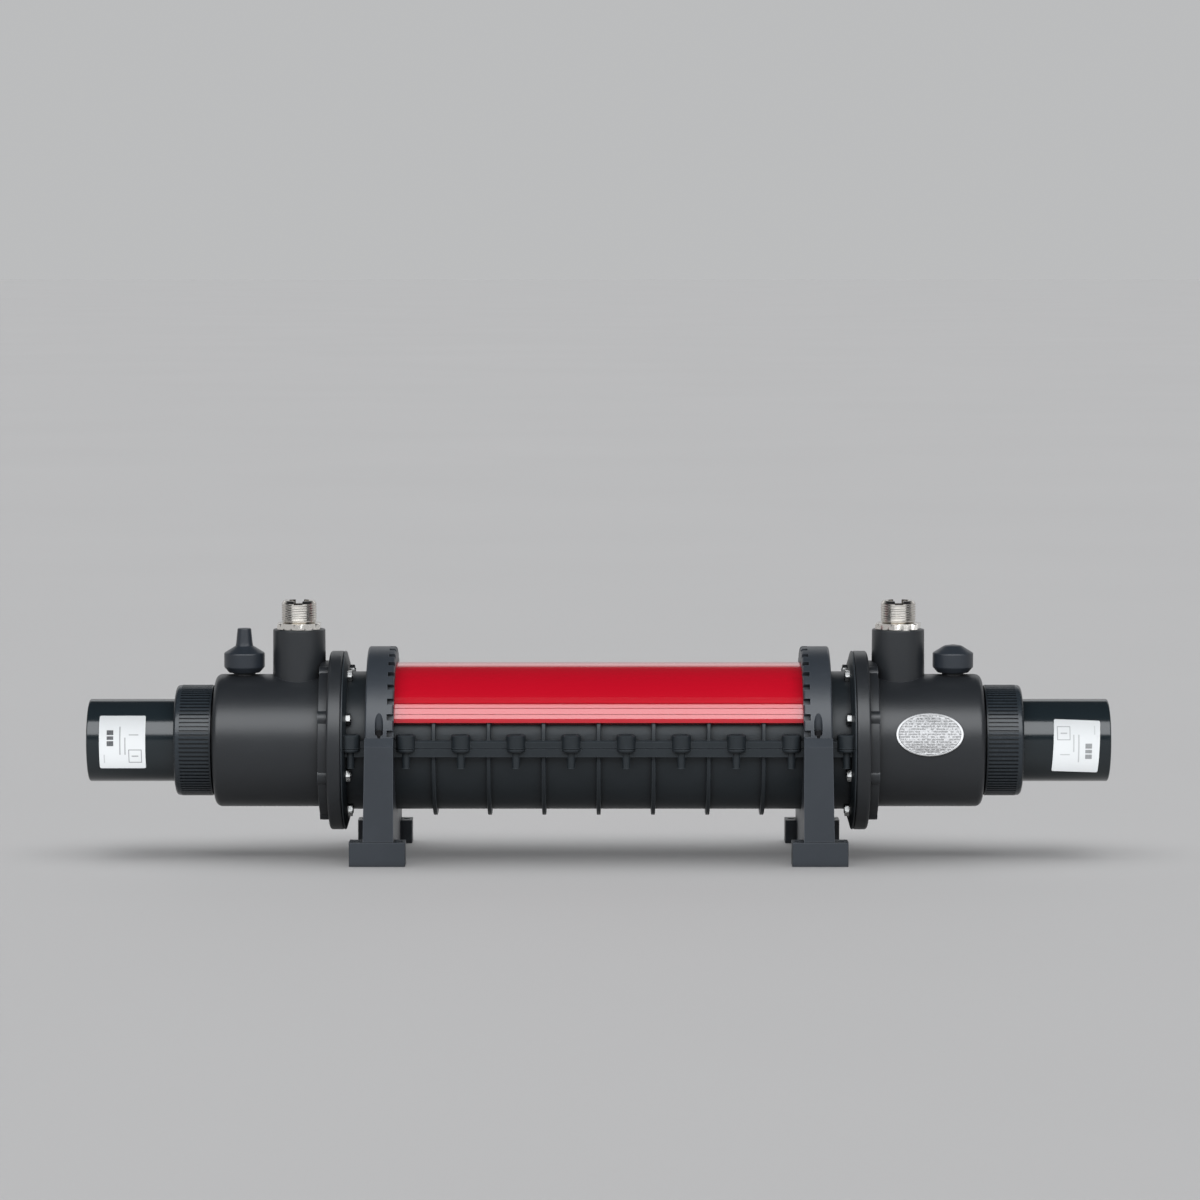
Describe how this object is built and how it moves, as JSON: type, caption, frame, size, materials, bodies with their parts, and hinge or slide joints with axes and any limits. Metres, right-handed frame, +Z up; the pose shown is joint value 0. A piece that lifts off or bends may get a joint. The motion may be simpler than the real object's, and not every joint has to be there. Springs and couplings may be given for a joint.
{
  "type": "pool water heat exchanger",
  "caption": "Split-barrel coil heat exchanger for pool water, with pipe unions at both ends, threaded ports on top and clamp brackets.",
  "frame": {"origin": "on the floor, under the middle of the barrel", "axes": "+X along the barrel towards the end with the badge, -Y the front with the labels, +Z up"},
  "size_m": [0.769, 0.153, 0.1922],
  "materials": {
    "shell_plastic": "glass-filled moulding, satin charcoal",
    "housing_plastic": "glass-filled moulding, satin charcoal",
    "bracket_plastic": "fine-textured dark grey moulding",
    "plug_plastic": "satin blue-black moulding",
    "cover_red": "gloss red",
    "tail_abs": "gloss blue-black ABS",
    "nut_plastic": "semi-gloss blue-black",
    "nickel_plate": "nickel-plated, lightly brushed",
    "bright_steel": "zinc-bright",
    "black_steel": "black oxide",
    "titanium": "drawn titanium tube",
    "seal_rubber": "black EPDM",
    "label_white": "matte white sticker",
    "badge_metal": "pressed bright metal"
  },
  "bodies": {
    "root": {"badge": "badge_metal", "coil_core": "shell_plastic", "front_shell_gasket": "seal_rubber", "heating_coil": "titanium", "left_clamp_cap": "bracket_plastic", "left_clamp_screws": "black_steel", "left_core_support": "shell_plastic", "left_flange_gasket": "seal_rubber", "left_flange_nuts": "bright_steel", "left_flange_studs": "bright_steel", "left_housing": "housing_plastic", "left_port_connector": "nickel_plate", "left_port_seal": "seal_rubber", "left_saddle": "bracket_plastic", "left_union_seal": "seal_rubber", "lower_shell": "shell_plastic", "rear_shell_gasket": "seal_rubber", "right_clamp_cap": "bracket_plastic", "right_clamp_screws": "black_steel", "right_core_support": "shell_plastic", "right_flange_gasket": "seal_rubber", "right_flange_nuts": "bright_steel", "right_flange_studs": "bright_steel", "right_housing": "housing_plastic", "right_port_connector": "nickel_plate", "right_port_seal": "seal_rubber", "right_saddle": "bracket_plastic", "right_union_seal": "seal_rubber", "shell_screws": "black_steel", "top_cover": "cover_red", "upper_shell": "shell_plastic"},
    "left_tail": {"left_union_tail": "tail_abs", "left_tail_label": "label_white"},
    "left_nut": {"left_union_nut": "nut_plastic"},
    "left_plug_washer": {"left_plug_seal": "seal_rubber"},
    "left_plug": {"left_plug": "plug_plastic"},
    "right_tail": {"right_union_tail": "tail_abs", "right_tail_label": "label_white"},
    "right_nut": {"right_union_nut": "nut_plastic"},
    "right_plug_washer": {"right_plug_seal": "seal_rubber"},
    "right_plug": {"right_plug": "plug_plastic"}
  },
  "joints": [
    {"name": "left_union_draw", "type": "slide", "parent": "root", "child": "left_tail", "axis": [-1, 0, 0], "range_m": [0, 0.016]},
    {"name": "left_union_nut_turn", "type": "hinge", "parent": "left_tail", "child": "left_nut", "pos_m": [-0.3045, 0, 0.0862], "axis": [-1, 0, 0], "range_deg": [0, 1440]},
    {"name": "left_plug_lift", "type": "slide", "parent": "root", "child": "left_plug_washer", "axis": [0, 0, 1], "range_m": [0, 0.00803]},
    {"name": "left_plug_turn", "type": "hinge", "parent": "left_plug_washer", "child": "left_plug", "pos_m": [-0.2675, 0, 0.1462], "axis": [0, 0, 1], "range_deg": [0, 2160]},
    {"name": "right_union_draw", "type": "slide", "parent": "root", "child": "right_tail", "axis": [1, 0, 0], "range_m": [0, 0.016]},
    {"name": "right_union_nut_turn", "type": "hinge", "parent": "right_tail", "child": "right_nut", "pos_m": [0.3045, 0, 0.0862], "axis": [1, 0, 0], "range_deg": [0, 1440]},
    {"name": "right_plug_lift", "type": "slide", "parent": "root", "child": "right_plug_washer", "axis": [0, 0, 1], "range_m": [0, 0.00803]},
    {"name": "right_plug_turn", "type": "hinge", "parent": "right_plug_washer", "child": "right_plug", "pos_m": [0.2675, 0, 0.1462], "axis": [0, 0, 1], "range_deg": [0, 2160]}
  ],
  "couplings": [
    {"joint": "left_union_draw", "follows": "left_union_nut_turn", "m_per_rad": 0.0006366},
    {"joint": "left_plug_lift", "follows": "left_plug_turn", "m_per_rad": 0.00021279},
    {"joint": "right_union_draw", "follows": "right_union_nut_turn", "m_per_rad": 0.0006366},
    {"joint": "right_plug_lift", "follows": "right_plug_turn", "m_per_rad": 0.00021279}
  ]
}
